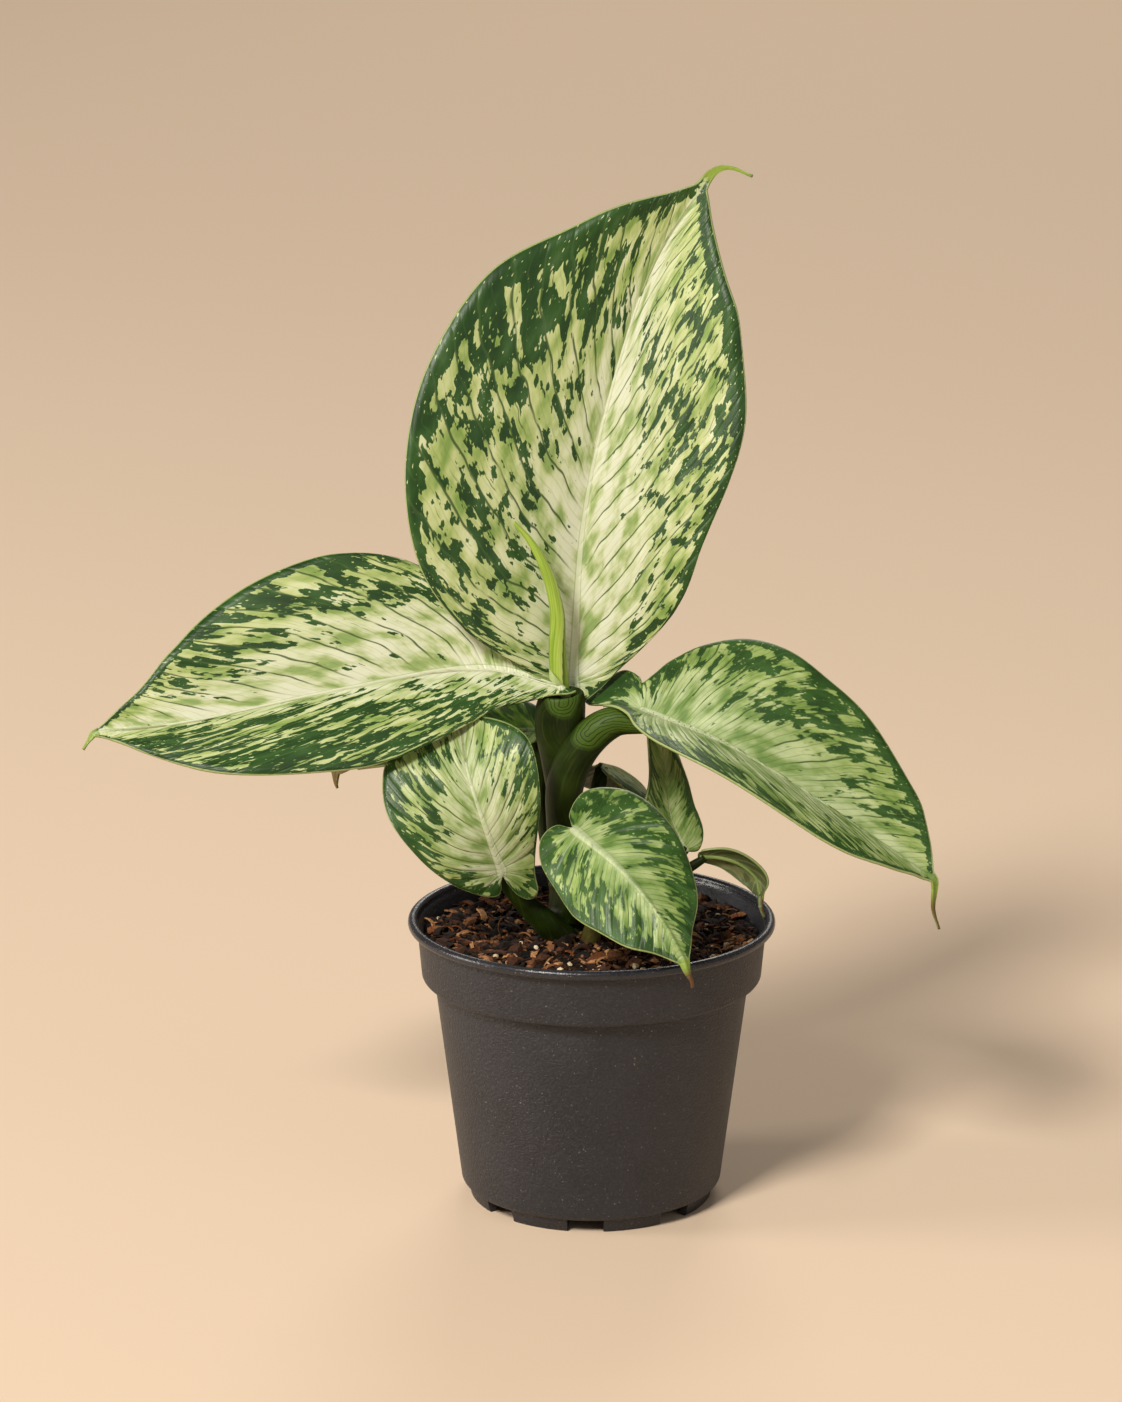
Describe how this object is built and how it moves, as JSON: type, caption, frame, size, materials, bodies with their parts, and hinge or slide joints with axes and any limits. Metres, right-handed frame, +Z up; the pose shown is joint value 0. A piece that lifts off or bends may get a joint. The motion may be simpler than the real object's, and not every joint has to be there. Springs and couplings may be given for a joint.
{
  "type": "potted dieffenbachia",
  "caption": "Young dieffenbachia with broad variegated leaves, a rolled new leaf and a short stem, standing in soil in a round plastic nursery pot with a rolled rim.",
  "frame": {"origin": "centre of the round pad under the pot, in the plane it stands on, on the pot's axis", "axes": "+Z up along the pot's axis, -Y the front of the plant as pictured, +X to the viewer's right"},
  "size_m": [0.2729, 0.1245, 0.3344],
  "materials": {
    "pot": "charcoal moulded plastic with a fine grain, the rolled lip glossier",
    "soil": "dark brown potting mix with reddish bark chips and pale perlite",
    "stem": "smooth olive green stem with ring scars",
    "dry_sheath": "dry olive brown sheath",
    "young_leaf": "smooth yellow-green rolled leaf",
    "foliage": "satin leaf, dark green margin with pale cream-green patches along the side veins"
  },
  "bodies": {
    "root": {"pot": "pot", "soil": "soil", "cane": "stem", "old_sheath": "dry_sheath", "new_leaf": "young_leaf", "leaf_top": "foliage", "leaf_left": "foliage", "leaf_right": "foliage", "leaf_low_left": "foliage", "leaf_low_right": "foliage", "leaf_side_right": "foliage", "leaf_curled_right": "foliage", "leaf_back_left": "foliage", "leaf_back_right": "foliage"}
  },
  "joints": []
}
